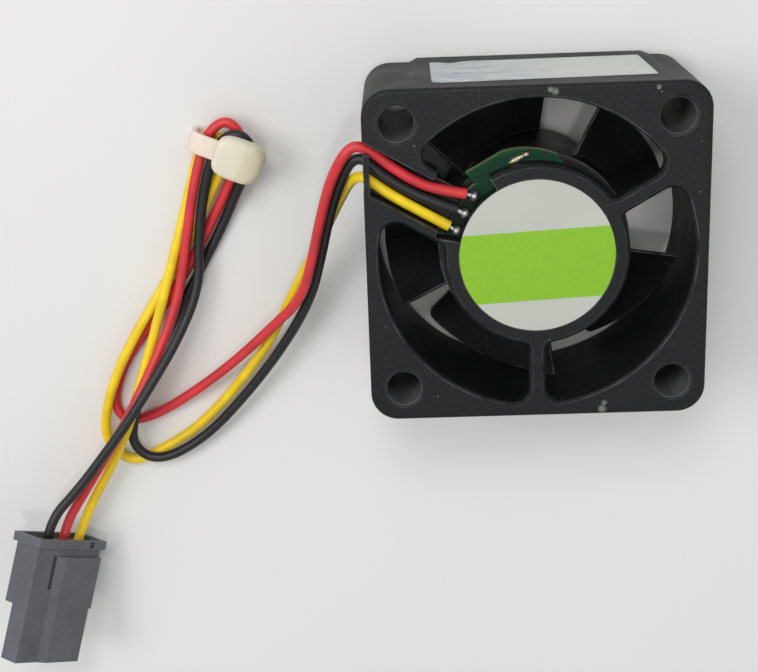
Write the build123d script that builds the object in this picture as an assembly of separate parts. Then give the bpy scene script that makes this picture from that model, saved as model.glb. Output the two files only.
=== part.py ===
from build123d import *
import os
from math import cos, radians, sin, sqrt, tan

os.makedirs("parts", exist_ok=True)

# Driving dimensions of the fan, in millimetres and degrees.
# The rotor axis is Z, the inlet face lies at z = 0 and the label face looks up.

# Moulded frame
frame_side = 40.0
frame_depth = 20.0
frame_corner_radius = 3.3
frame_edge_radius = 0.5
hole_inset = 4.0
hole_diameter = 4.2
hole_rim = 0.25
duct_outlet_wall = 1.5
duct_inlet_wall = 1.0
duct_flare = 0.4
duct_lip = 0.2
window_chamfer = 0.35

# Spider of the label face: straight struts and the window corners between them
spider_depth = 1.7
spider_root = 0.7
strut_width = 1.9
strut_angles = (30.0, 270.0)
window_outer_fillet = 1.9
window_inner_fillet = 0.9

# Motor base in the middle of the label face
hub_radius = 10.85
hub_plate_thickness = 1.8
hub_rim_width = 0.9
base_depth = 3.5
cutout_start = 120.0
cutout_end = 168.0
cutout_inset = 1.65

# Channel that leads the wires from the board to the left wall
channel_angle = 150.0
channel_above = 2.2
channel_below = 2.9
channel_upper_rib = 1.0
channel_lower_rib = 1.2
channel_rib_run = 3.5
groove_depth = 2.6
notch_depth = 3.8
notch_reach = 1.5
notch_start = 0.1
notch_width = 4.9
tongue_thickness = 0.7
tongue_height = 0.9
tongue_root = 0.7
tongue_length = 5.1
tongue_inset = 0.05

# Wedge pad on the wall that carries the sticker
pad_left_inset = 6.7
pad_left_slope = 0.9
pad_right_inset = 5.5
pad_right_slope = 1.2
pad_proud = 0.5
pad_below_face = 2.0

# Labels
hub_label_inset = 1.75
label_thickness = 0.12
sticker_left_margin = 1.5
sticker_right_margin = 0.5
sticker_low_margin = 3.6
sticker_high_margin = 1.8
sticker_thickness = 0.1
sticker_tilt = 2.8

# Impeller
blade_count = 5
blade_tip_gap = 0.6
blade_thickness = 0.8
blade_edge_thickness = 0.4
blade_tip_round = 0.8
blade_leading_angle = 81.0
blade_trailing_angle = 135.2
blade_leading_height = 0.9
blade_trailing_depth = 8.2
blade_camber_share = 0.3945
blade_stations = 7
cup_radius = 11.4
cup_wall = 0.85
cup_floor_bottom = 0.5
cup_floor = 1.1
cup_rim_depth = 4.8
cup_edge_radius = 0.8

# Rotor magnet, yoke and shaft
fit_gap = 0.02
yoke_thickness = 0.6
yoke_rim_step = 0.2
magnet_thickness = 1.4
magnet_bottom = 4.2
magnet_depth = 5.6
shaft_diameter = 2.0
shaft_bottom = 1.2
shaft_end_depth = 1.3
shaft_chamfer = 0.15
bush_radius = 1.7
bush_top = 6.1
washer_radius = 1.5
washer_thickness = 0.15
clip_depth = 2.15
clip_thickness = 0.35
clip_groove_depth = 0.25
clip_radius = 1.6
clip_opening = 60.0

# Ball bearings
bearing_outer_diameter = 5.0
bearing_width = 2.3
bearing_ring_wall = 0.44
ball_count = 7
ball_diameter = 0.66
cage_thickness = 0.3
cage_height = 1.1
lower_bearing_bottom = 6.4
upper_bearing_depth = 4.8

# Bearing tube and stator
tube_radius = 3.1
tube_bottom = 4.9
tube_shoulder = 0.35
stack_bottom = 6.0
stack_depth = 8.0
air_gap = 0.35
pole_count = 4
pole_arm_width = 2.4
pole_shoe_thickness = 1.0
pole_gap = 1.3
stack_ring = 1.4
bobbin_plate = 0.6
bobbin_flange = 0.5
bobbin_flange_height = 1.1
bobbin_overhang = 0.12
coil_thickness = 1.0
coil_gap = 0.1
coil_corner = 0.7

# Circuit board and what it carries
board_thickness = 1.2
board_depth = 2.6
board_inset = 0.55
board_edge_inset = 0.05
board_edge_start = 122.0
board_edge_end = 170.0
board_gap = 0.2
board_lobe_corner = (-8.1, 9.5)
board_lobe_left = (-3.8, 11.9)
board_lobe_crest = (-0.8, 12.2)
board_lobe_right = (2.7, 11.3)
board_lobe_end = (3.2, 10.5)
pin_side = 0.5
pin_radius = 7.32
pin_angles = (30.0, 120.0, 240.0)
pin_rise = 0.6
hall_length = 2.9
hall_width = 1.5
hall_height = 1.1
hall_angle = 90.0
chip_length = 4.4
chip_width = 3.6
chip_height = 1.1
chip_y = -6.3
capacitor_length = 1.6
capacitor_width = 0.8
capacitor_height = 0.6
capacitor_spots = ((-6.4, 2.4), (6.5, 2.0), (6.3, -2.6))
solder_radius = 0.5
solder_rise = 0.7
strand_radius = 0.26
strand_length = 0.9
red_joint_inset = 0.69
red_joint_angle = 135.4
black_joint_inset = 1.04
black_joint_angle = 148.8
yellow_joint_inset = 0.93
yellow_joint_angle = 162.2

# Leads
lead_diameter = 1.3
lead_bend_share = 0.45
lead_approach = 1.8
lead_depth = 2.2

# Plug at the far end of the leads, which hold it up on one corner of its wire end
plug_x = -61.0
plug_y = -40.9
plug_yaw = -14.3
plug_lift = 18.6
plug_roll = 50.1
plug_pitch = 2.54
plug_ways = 3
plug_way_depth = 1.8
plug_width = 11.0
plug_thickness = 4.3
plug_length = 16.6
plug_collar = 0.45
plug_collar_length = 1.2
plug_rim = 0.6
plug_recess = 0.7
plug_window = 0.8
plug_window_x = 3.5
plug_step_at = 9.3
plug_step_side = 0.4
plug_step_under = 1.45
plug_panel_left = -1.9
plug_panel_slope = 1.2
plug_panel_start = 2.3
plug_panel_height = 0.5
plug_slot_width = 0.7
plug_slot_depth = 0.6
plug_slot_length = 4.4
plug_cavity = 1.9
plug_cavity_end = 0.5
plug_pin_hole = 1.3
contact_gap = 0.1
contact_wall = 0.3
contact_length = 6.4
contact_socket = 4.5

# Cable tie round the folded leads
tie_x = -37.2
tie_y = 10.1
tie_turn = -22.0
tie_inner_width = 8.8
tie_inner_height = 3.7
tie_strap_width = 2.6
tie_strap_thickness = 0.8
tie_corner = 1.2
tie_floor_gap = 0.05
tie_head_length = 6.4
tie_head_width = 5.8
tie_head_height = 2.0
tie_head_shift = 1.6
tie_head_corner = 1.4
tie_head_edge = 0.4
tie_tail = 0.5

# Values worked out from the sizes above
half_side = frame_side / 2
hole_spacing = frame_side - 2 * hole_inset
hole_radius = hole_diameter / 2
duct_outlet_radius = half_side - duct_outlet_wall
duct_inlet_radius = half_side - duct_inlet_wall
spider_bottom = frame_depth - spider_depth
base_bottom = frame_depth - base_depth
hub_plate_bottom = frame_depth - hub_plate_thickness
cutout_radius = hub_radius - cutout_inset
hub_label_radius = hub_radius - hub_label_inset
board_radius = hub_radius - board_inset
board_edge_radius = hub_radius - board_edge_inset
groove_bottom = frame_depth - groove_depth
channel_top_side = -channel_above - channel_upper_rib
channel_low_side = channel_below + channel_lower_rib
channel_rib_start = duct_outlet_radius - channel_rib_run
channel_slope = radians(180 - channel_angle)
wire_exit_y = half_side * tan(channel_slope) - channel_below / cos(channel_slope)
pad_left = pad_left_inset - half_side
pad_right = half_side - pad_right_inset
pad_height = frame_depth - pad_below_face
sticker_left = pad_left + sticker_left_margin
sticker_right = pad_right - sticker_right_margin
sticker_centre_x = (sticker_left + sticker_right) / 2
sticker_top = pad_height - sticker_high_margin
sticker_centre_z = (sticker_low_margin + sticker_top) / 2
blade_tip_radius = duct_outlet_radius - blade_tip_gap
blade_trailing_height = frame_depth - blade_trailing_depth
blade_rise = blade_trailing_height - blade_leading_height
blade_middle_height = blade_leading_height + blade_camber_share * blade_rise
board_top = frame_depth - board_depth
board_bottom = board_top - board_thickness
solder_crown = board_top + solder_rise
cup_rim_height = frame_depth - cup_rim_depth
cup_floor_top = cup_floor_bottom + cup_floor
magnet_top = frame_depth - magnet_depth
shaft_top = frame_depth - shaft_end_depth
clip_height = frame_depth - clip_depth
upper_bearing_bottom = frame_depth - upper_bearing_depth
stack_top = frame_depth - stack_depth
cup_inner_radius = cup_radius - cup_wall
yoke_outer_radius = cup_inner_radius - fit_gap
yoke_inner_radius = yoke_outer_radius - yoke_thickness
yoke_floor_top = cup_floor_top + yoke_thickness
magnet_outer_radius = yoke_inner_radius - fit_gap
magnet_inner_radius = magnet_outer_radius - magnet_thickness
stator_radius = magnet_inner_radius - air_gap
stator_bore = tube_radius + fit_gap
shaft_radius = shaft_diameter / 2
bearing_outer_radius = bearing_outer_diameter / 2
ball_pitch_radius = (bearing_outer_radius + shaft_radius) / 2
ball_radius = ball_diameter / 2
lead_radius = lead_diameter / 2
blade_middle_angle = (blade_leading_angle + blade_trailing_angle) / 2
low_corner = (Align.MIN, Align.MIN, Align.MIN)
centre_low = (Align.CENTER, Align.CENTER, Align.MIN)
centre_high = (Align.CENTER, Align.CENTER, Align.MAX)


def polar(radius, angle, height=0.0):
    """Point at a radius and an angle round the rotor axis."""
    return Vector(radius * cos(radians(angle)), radius * sin(radians(angle)), height)


def ring(outer, inner, bottom, top):
    """Round washer or tube between two heights, or a full disc when the inner radius is zero."""
    face = Circle(outer)
    if inner > 0:
        face -= Circle(inner)
    return Pos(0, 0, bottom) * extrude(face, top - bottom)


def sector(outer, start, end):
    """Flat pie slice between two angles, less than half a turn wide."""
    reach = 2 * outer
    middle = (start + end) / 2
    corners = [Vector(0, 0), polar(reach, start), polar(reach, middle), polar(reach, end)]
    return Circle(outer) & make_face(Polyline(*corners, close=True))


def radial_strip(low, high, angle):
    """Flat strip that runs outwards from the hub, between two distances beside its middle line."""
    strip = Pos(half_side, (low + high) / 2) * Rectangle(frame_side, high - low)
    return Rot(0, 0, angle) * strip


def radial_block(start, end, low, high, bottom, top, angle):
    """Box along a radial direction, given by its distances along and across it."""
    block = Box(end - start, high - low, top - bottom, align=low_corner)
    return Rot(0, 0, angle) * Pos(start, low, bottom) * block


def window_faces():
    """Openings of the label face: a ring less the struts and the channel, with rounded corners."""
    outline = Circle(duct_outlet_radius) - Circle(hub_radius)
    for angle in strut_angles:
        outline -= radial_strip(-strut_width / 2, strut_width / 2, angle)
    outline -= radial_strip(channel_top_side, channel_low_side, channel_angle)
    middle = (hub_radius + duct_outlet_radius) / 2
    inner = [v for v in outline.vertices() if Vector(v.X, v.Y).length < middle]
    outline = fillet(inner, window_inner_fillet)
    outer = [v for v in outline.vertices() if Vector(v.X, v.Y).length > duct_outlet_radius - strut_width / 2]
    return fillet(outer, window_outer_fillet).faces()


def make_spider():
    """Disc of the label face with its three windows and their chamfered rims."""
    spider = ring(duct_outlet_radius + spider_root, 0, spider_bottom, frame_depth)
    for face in window_faces():
        spider -= Pos(0, 0, spider_bottom) * extrude(face, spider_depth)
        wide = offset(face, window_chamfer).face()
        bevel = mirror(extrude(wide, 2 * window_chamfer, taper=45), about=Plane.XY)
        spider -= Pos(0, 0, frame_depth) * bevel
    return spider


def motor_base_wall():
    """Skirt of the motor base and trough of the wire channel, below the plate of the label face."""
    skirt = ring(hub_radius, 0, base_bottom, spider_bottom)
    trough = radial_block(0, frame_side, channel_top_side, channel_low_side,
                          base_bottom, spider_bottom, channel_angle)
    return skirt + (trough & ring(duct_outlet_radius + spider_root, 0, base_bottom, spider_bottom))


def board_lobe_edges():
    """Outline of the circuit board's lobe, from the axis out to its edge and back."""
    return [
        Line((0, 0), board_lobe_corner),
        Line(board_lobe_corner, board_lobe_left),
        ThreePointArc(board_lobe_left, board_lobe_crest, board_lobe_right),
        Line(board_lobe_right, board_lobe_end),
        Line(board_lobe_end, (0, 0)),
    ]


def motor_base_hollow():
    """Space under the base plate, bore for the bearing tube, label recess and the cut-out over the board."""
    under = ring(hub_radius - hub_rim_width, 0, board_top, hub_plate_bottom)
    board_room = ring(hub_radius + board_gap, 0, base_bottom, board_top)
    lobe_room = offset(make_face(board_lobe_edges()), board_gap)
    board_room += Pos(0, 0, base_bottom) * extrude(lobe_room, board_top - base_bottom)
    bore = ring(stator_bore, 0, base_bottom, frame_depth)
    recess = ring(hub_label_radius + fit_gap, 0, frame_depth - label_thickness, frame_depth)
    opened = sector(hub_radius + channel_lower_rib, cutout_start, cutout_end) - Circle(cutout_radius)
    cutout = Pos(0, 0, board_top) * extrude(opened, frame_depth - board_top)
    return under + board_room + bore + recess + cutout


def wire_channel():
    """Groove for the leads, open at the hub and through the wall, with its upper rib cut short."""
    groove = radial_block(cutout_radius, frame_side, -channel_above, channel_below,
                          groove_bottom, frame_depth, channel_angle)
    open_side = radial_block(cutout_radius, channel_rib_start, channel_top_side - spider_root, -channel_above,
                             base_bottom, frame_depth, channel_angle)
    notch = Box(notch_reach, notch_width, notch_depth, align=low_corner)
    notch_place = Pos(-half_side, wire_exit_y + notch_start, frame_depth - notch_depth)
    return groove + open_side + notch_place * notch


def wire_tongue():
    """Thin bar across the wire exit, fixed at one end, that keeps the leads down."""
    solid = Box(tongue_thickness, tongue_length, tongue_height, align=low_corner)
    return Pos(-half_side + tongue_inset, wire_exit_y - tongue_root, frame_depth - tongue_height) * solid


def wedge_pad():
    """Thin wedge on the sticker wall, proud at the inlet edge and flush near the label face."""
    plan = Polyline(
        (pad_left - pad_left_slope, half_side - pad_proud),
        (pad_right + pad_right_slope, half_side - pad_proud),
        (pad_right + pad_right_slope, half_side),
        (pad_right, half_side + pad_proud),
        (pad_left, half_side + pad_proud),
        (pad_left - pad_left_slope, half_side),
        close=True,
    )
    side = Polyline(
        (half_side - pad_proud, 0),
        (half_side + pad_proud, 0),
        (half_side, pad_height),
        (half_side - pad_proud, pad_height),
        close=True,
    )
    upright = extrude(make_face(plan), pad_height)
    return upright & extrude(Plane.YZ * make_face(side), frame_side, both=True)


def screw_hole():
    """Straight screw hole with a small chamfer at the label face."""
    section = Polyline(
        (0, 0),
        (hole_radius, 0),
        (hole_radius, frame_depth - hole_rim),
        (hole_radius + hole_rim, frame_depth),
        (0, frame_depth),
        close=True,
    )
    return revolve(Plane.XZ * make_face(section), Axis.Z)


def make_frame():
    """Square housing with the duct, the spider, the motor base and the wire channel."""
    body = extrude(RectangleRounded(frame_side, frame_side, frame_corner_radius), frame_depth)
    body = fillet(body.edges().group_by(Axis.Z)[-1], frame_edge_radius)
    body += wedge_pad()
    duct_section = Polyline(
        (0, 0),
        (duct_inlet_radius + duct_flare, 0),
        (duct_inlet_radius, duct_flare),
        (duct_outlet_radius + duct_lip, spider_bottom),
        (duct_outlet_radius + duct_lip, frame_depth),
        (0, frame_depth),
        close=True,
    )
    body -= revolve(Plane.XZ * make_face(duct_section), Axis.Z)
    body += make_spider()
    body += motor_base_wall()
    body -= motor_base_hollow()
    body -= wire_channel()
    body += wire_tongue()
    for x in (-hole_spacing / 2, hole_spacing / 2):
        for y in (-hole_spacing / 2, hole_spacing / 2):
            body -= Pos(x, y, 0) * screw_hole()
    return body


def make_hub_label():
    """Round label in the recess of the motor base."""
    return ring(hub_label_radius, 0, frame_depth - label_thickness, frame_depth)


def make_side_sticker():
    """Paper sticker on the slanted face of the wedge pad."""
    on_pad = half_side + pad_proud * (1 - sticker_centre_z / pad_height)
    slant = Vector(0, pad_height, pad_proud)
    wall = Plane(origin=(sticker_centre_x, on_pad, sticker_centre_z), x_dir=(-1, 0, 0), z_dir=slant)
    sheet = Rectangle(sticker_right - sticker_left, sticker_top - sticker_low_margin)
    paper = Rot(0, 0, sticker_tilt) * sheet
    return extrude(wall * paper, sticker_thickness)


def blade_section(distance):
    """Blade profile on a flat plane that stands at a distance from the rotor axis."""
    heights = (blade_leading_height, blade_middle_height, blade_trailing_height)
    angles = (blade_leading_angle, blade_middle_angle, blade_trailing_angle)
    line = []
    for angle, height in zip(angles, heights):
        line.append(Vector(distance * tan(radians(angle - blade_middle_angle)), height))
    camber = Spline(*line)
    upper = []
    lower = []
    for station in range(blade_stations):
        share = station / (blade_stations - 1)
        swell = 4 * share * (1 - share)
        thickness = blade_edge_thickness + swell * (blade_thickness - blade_edge_thickness)
        along = camber.tangent_at(share)
        across = Vector(-along.Y, along.X) * (thickness / 2)
        upper.append(camber.position_at(share) + across)
        lower.append(camber.position_at(share) - across)
    edges = [Spline(*upper), Line(upper[-1], lower[-1]), Spline(*lower), Line(lower[0], upper[0])]
    outwards = polar(1, blade_middle_angle)
    plane = Plane(origin=outwards * distance, x_dir=polar(1, blade_middle_angle + 90), z_dir=outwards)
    return plane * make_face(edges)


def make_blade():
    """Blade of straight radial rulings between the cup and the tip circle, its leading tip rounded."""
    half_span = radians(blade_trailing_angle - blade_middle_angle)
    inner = cup_inner_radius * cos(half_span) - cup_wall
    outer = blade_tip_radius + cup_wall
    blade = loft([blade_section(inner), blade_section(outer)], ruled=True)
    blade = blade & ring(blade_tip_radius, cup_radius - cup_wall / 2, 0, frame_depth)
    short = [e for e in blade.edges() if e.length < 2 * blade_thickness]
    middle = (cup_radius + blade_tip_radius) / 2
    tips = [e for e in short if Vector(e.center().X, e.center().Y).length > middle]
    leading_tip = min(tips, key=lambda e: e.center().Z)
    return fillet(leading_tip, blade_tip_round)


def make_impeller():
    """Cup with its blades, moulded in one piece."""
    cup = ring(cup_radius, 0, cup_floor_bottom, cup_rim_height)
    cup = fillet(cup.edges().group_by(Axis.Z)[0], cup_edge_radius)
    cup -= ring(cup_inner_radius, 0, cup_floor_top, cup_rim_height)
    cup -= ring(bush_radius, 0, shaft_bottom, cup_floor_top)
    blade = make_blade()
    for index in range(blade_count):
        cup += Rot(0, 0, index * 360 / blade_count) * blade
    return cup


def make_rotor_yoke():
    """Drawn steel cup that carries the magnet."""
    rim = cup_rim_height - yoke_rim_step
    cup = ring(yoke_outer_radius, bush_radius, cup_floor_top, rim)
    return cup - ring(yoke_inner_radius, 0, yoke_floor_top, rim)


def make_magnet_ring():
    """Bonded ring magnet inside the yoke."""
    return ring(magnet_outer_radius, magnet_inner_radius, magnet_bottom, magnet_top)


def make_shaft():
    """Shaft with a chamfered end and the groove for the retaining clip."""
    rod = ring(shaft_radius, 0, shaft_bottom, shaft_top)
    rod = chamfer(rod.edges().group_by(Axis.Z)[-1], shaft_chamfer)
    groove_top = clip_height + clip_thickness + fit_gap
    return rod - ring(shaft_radius, shaft_radius - clip_groove_depth, clip_height - fit_gap, groove_top)


def make_shaft_bush():
    """Brass bush that joins the shaft to the cup and the yoke."""
    return ring(bush_radius, shaft_radius, shaft_bottom, bush_top)


def make_preload_washer():
    """Dished spring washer between the bush and the lower inner ring."""
    inner = shaft_radius + fit_gap
    rise = lower_bearing_bottom - bush_top - washer_thickness
    section = Polyline(
        (inner, bush_top + rise),
        (washer_radius, bush_top),
        (washer_radius, bush_top + washer_thickness),
        (inner, bush_top + rise + washer_thickness),
        close=True,
    )
    return revolve(Plane.XZ * make_face(section), Axis.Z)


def make_retaining_clip():
    """Split clip in the shaft groove."""
    clip = Circle(clip_radius) - Circle(shaft_radius - clip_groove_depth + fit_gap)
    clip -= sector(2 * clip_radius, -clip_opening / 2, clip_opening / 2)
    return Pos(0, 0, clip_height) * extrude(clip, clip_thickness)


def make_bearing(bottom):
    """Outer ring, inner ring, balls and cage of one bearing."""
    top = bottom + bearing_width
    middle = bottom + bearing_width / 2
    race = Pos(0, 0, middle) * Torus(ball_pitch_radius, ball_radius + fit_gap)
    outer_ring = ring(bearing_outer_radius, bearing_outer_radius - bearing_ring_wall, bottom, top) - race
    inner_ring = ring(shaft_radius + bearing_ring_wall, shaft_radius, bottom, top) - race
    cage = ring(ball_pitch_radius + cage_thickness / 2, ball_pitch_radius - cage_thickness / 2,
                middle - cage_height / 2, middle + cage_height / 2)
    balls = []
    for index in range(ball_count):
        spot = Rot(0, 0, index * 360 / ball_count) * Pos(ball_pitch_radius, 0, middle)
        balls.append(spot * Sphere(ball_radius))
        cage -= spot * Rot(0, 90, 0) * Cylinder(ball_radius + fit_gap, 2 * cage_thickness)
    return {"outer_ring": outer_ring, "inner_ring": inner_ring, "balls": Compound(balls), "cage": cage}


def make_bearing_tube():
    """Brass tube with a seat for a bearing at each end."""
    top = frame_depth - label_thickness
    tube = ring(tube_radius, bearing_outer_radius - tube_shoulder, tube_bottom, top)
    tube -= ring(bearing_outer_radius, 0, tube_bottom, lower_bearing_bottom + bearing_width)
    return tube - ring(bearing_outer_radius, 0, upper_bearing_bottom, top)


def pole_outline(grow):
    """Flat outline of the stator: ring, arms and shoes, with a slot between neighbouring shoes."""
    shape = Circle(stator_bore + stack_ring + grow)
    shoes = Circle(stator_radius) - Circle(stator_radius - pole_shoe_thickness - grow)
    for index in range(pole_count):
        angle = index * 360 / pole_count
        arm = pole_arm_width / 2 + grow
        shape += radial_strip(-arm, arm, angle)
        shoes -= radial_strip(-pole_gap / 2, pole_gap / 2, angle + 180 / pole_count)
    shape = (shape & Circle(stator_radius - pole_shoe_thickness / 2)) + shoes
    return shape - Circle(stator_bore)


def make_stator_laminations():
    """Stack of sheet-steel plates with four poles."""
    return Pos(0, 0, stack_bottom) * extrude(pole_outline(0), stack_top - stack_bottom)


def make_upper_insulator():
    """Plastic bobbin half: a plate on the stack with a flange at each end of the arms."""
    plate = pole_outline(bobbin_overhang)
    flange = (Circle(stator_radius) - Circle(stator_radius - bobbin_flange)) & plate
    flange += Circle(stator_bore + bobbin_flange) - Circle(stator_bore)
    flange_bottom = stack_top + bobbin_plate
    body = Pos(0, 0, stack_top) * extrude(plate, bobbin_plate)
    return body + Pos(0, 0, flange_bottom) * extrude(flange, bobbin_flange_height)


def make_lower_insulator():
    """The same bobbin half under the stack."""
    half_way = (stack_bottom + stack_top) / 2
    return mirror(make_upper_insulator(), about=Plane.XY.offset(half_way))


def make_stator_coils():
    """Four windings, one round each arm between the bobbin flanges."""
    inner_width = pole_arm_width + 2 * bobbin_overhang + 2 * coil_gap
    inner_height = stack_top - stack_bottom + 2 * bobbin_plate
    near = stator_bore + stack_ring + bobbin_overhang + coil_gap
    shoe_inner = stator_radius - pole_shoe_thickness - bobbin_overhang
    far = sqrt(shoe_inner ** 2 - (inner_width / 2 + coil_thickness) ** 2) - coil_gap
    outer = RectangleRounded(inner_width + 2 * coil_thickness, inner_height + 2 * coil_thickness, coil_corner)
    plane = Plane(origin=(near, 0, (stack_bottom + stack_top) / 2), x_dir=(0, 1, 0), z_dir=(1, 0, 0))
    coil = extrude(plane * (outer - Rectangle(inner_width, inner_height)), far - near)
    return Compound([Rot(0, 0, index * 360 / pole_count) * coil for index in range(pole_count)])


def make_winding_pins():
    """Square pins on the upper bobbin half that carry the winding ends through the board."""
    bottom = stack_top + bobbin_plate
    pin = Box(pin_side, pin_side, board_top + pin_rise - bottom, align=centre_low)
    return Compound([Rot(0, 0, angle) * Pos(pin_radius, 0, bottom) * pin for angle in pin_angles])


def make_circuit_board():
    """Round board with a wider edge at the solder pads and a lobe beside the wire channel."""
    outline = Circle(board_radius) + make_face(board_lobe_edges())
    outline += sector(board_edge_radius, board_edge_start, board_edge_end)
    outline -= Circle(stator_bore)
    for angle in pin_angles:
        hole = Rectangle(pin_side + 2 * fit_gap, pin_side + 2 * fit_gap)
        outline -= Rot(0, 0, angle) * Pos(pin_radius, 0) * hole
    return Pos(0, 0, board_bottom) * extrude(outline, board_thickness)


def make_hall_sensor():
    """Flat sensor under the board that reads the end of the magnet."""
    block = Box(hall_width, hall_length, hall_height, align=centre_high)
    return Rot(0, 0, hall_angle) * Pos(magnet_inner_radius, 0, board_bottom) * block


def make_driver_chip():
    """Drive chip under the board."""
    return Pos(0, chip_y, board_bottom) * Box(chip_length, chip_width, chip_height, align=centre_high)


def make_chip_capacitors():
    """Small chip capacitors under the board."""
    block = Box(capacitor_width, capacitor_length, capacitor_height, align=centre_high)
    return Compound([Pos(x, y, board_bottom) * block for x, y in capacitor_spots])


def lead_start(joint, first_point):
    """Start of a lead: a bare strand's length from its solder joint, towards its first bend."""
    return joint + (Vector(*first_point) - joint).normalized() * strand_length


def make_solder_joints():
    """Posts of solder on the board, each with the bare strand that runs into its lead."""
    joints = []
    for route in lead_routes().values():
        start = route["points"][0]
        centre = route["joint"]
        foot = Cylinder(solder_radius, solder_crown - board_top, align=centre_high)
        post = Pos(centre) * (foot + Sphere(solder_radius))
        strand = Cylinder(strand_radius, strand_length, align=centre_low)
        joints.append(post + Plane(origin=centre, z_dir=start - centre) * strand)
    return Compound(joints)


def plug_place():
    """Plug's own frame: origin on the upper face at the wire end, X across, Y back along the leads."""
    across = plug_width / 2 + plug_collar
    under = plug_thickness + plug_collar
    lowest = across * sin(radians(plug_roll)) + under * cos(radians(plug_roll))
    turn = Rot(0, 0, plug_yaw) * Rot(-plug_lift, 0, 0) * Rot(0, plug_roll, 0)
    return Pos(plug_x, plug_y, lowest * cos(radians(plug_lift))) * turn


def plug_way(way, along):
    """Place on the middle line of one way of the plug, at a distance outwards from its wire end."""
    return plug_place() * Pos((way - (plug_ways - 1) / 2) * plug_pitch, along, -plug_way_depth)


def plug_block(left, right, near, far, bottom, top):
    """Box in the plug's own frame, with its length measured from the wire end."""
    solid = Box(right - left, far - near, top - bottom, align=(Align.MIN, Align.MAX, Align.MIN))
    return Pos(left, -near, bottom) * solid


def plug_panel():
    """Raised panel of the plug, with a sloping left side and a step in its right side."""
    right = plug_width / 2
    plan = Polyline(
        (plug_panel_left, -plug_panel_start),
        (right, -plug_panel_start),
        (right, -plug_step_at),
        (right - plug_step_side, -plug_step_at),
        (right - plug_step_side, -plug_length),
        (plug_panel_left, -plug_length),
        close=True,
    )
    section = Polyline(
        (plug_panel_left, 0),
        (right, 0),
        (right, plug_panel_height),
        (plug_panel_left + plug_panel_slope, plug_panel_height),
        close=True,
    )
    return extrude(make_face(plan), plug_panel_height) & extrude(Plane.XZ * make_face(section), plug_length)


def make_plug_housing():
    """Three-way crimp housing with a hollow collar, a stepped body and a raised panel."""
    half = plug_width / 2
    collar = plug_collar
    thin_bottom = plug_step_under - plug_thickness
    thin_right = half - plug_step_side
    body = plug_block(-half, half, 0, plug_step_at, -plug_thickness, 0)
    body += plug_block(-half, thin_right, plug_step_at, plug_length, thin_bottom, 0)
    body += plug_block(-half - collar, half + collar, 0, plug_collar_length, -plug_thickness - collar, collar)
    body += plug_panel()
    rim_side = half + collar - plug_rim
    body -= plug_block(-rim_side, rim_side, 0, plug_recess,
                       plug_rim - plug_thickness - collar, collar - plug_rim)
    window_near = (plug_collar_length - plug_window) / 2
    body -= plug_block(plug_window_x - plug_window / 2, plug_window_x + plug_window / 2,
                       window_near, window_near + plug_window, collar - plug_rim, collar)
    slot_end = plug_panel_start + plug_slot_length
    body -= plug_block(plug_panel_left - plug_slot_width, plug_panel_left, plug_panel_start, slot_end,
                       -plug_slot_depth, plug_panel_height)
    body = plug_place() * body
    cavity_depth = plug_step_at - plug_cavity_end
    cavity = Box(plug_cavity, cavity_depth, plug_cavity, align=(Align.CENTER, Align.MAX, Align.CENTER))
    pin_hole = Box(plug_pin_hole, plug_length, plug_pin_hole, align=(Align.CENTER, Align.MAX, Align.CENTER))
    for way in range(plug_ways):
        body -= plug_way(way, 0) * (cavity + pin_hole)
    return body


def make_crimp_terminals():
    """Box contacts inside the plug, one at the end of each lead."""
    side = plug_cavity - 2 * contact_gap
    hollow = side - 2 * contact_wall
    contact = Box(side, contact_length, side, align=(Align.CENTER, Align.MAX, Align.CENTER))
    socket = Box(hollow, contact_socket, hollow, align=(Align.CENTER, Align.MIN, Align.CENTER))
    contact -= Pos(0, -contact_length, 0) * socket
    return Compound([plug_way(way, -lead_depth) * contact for way in range(plug_ways)])


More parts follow.
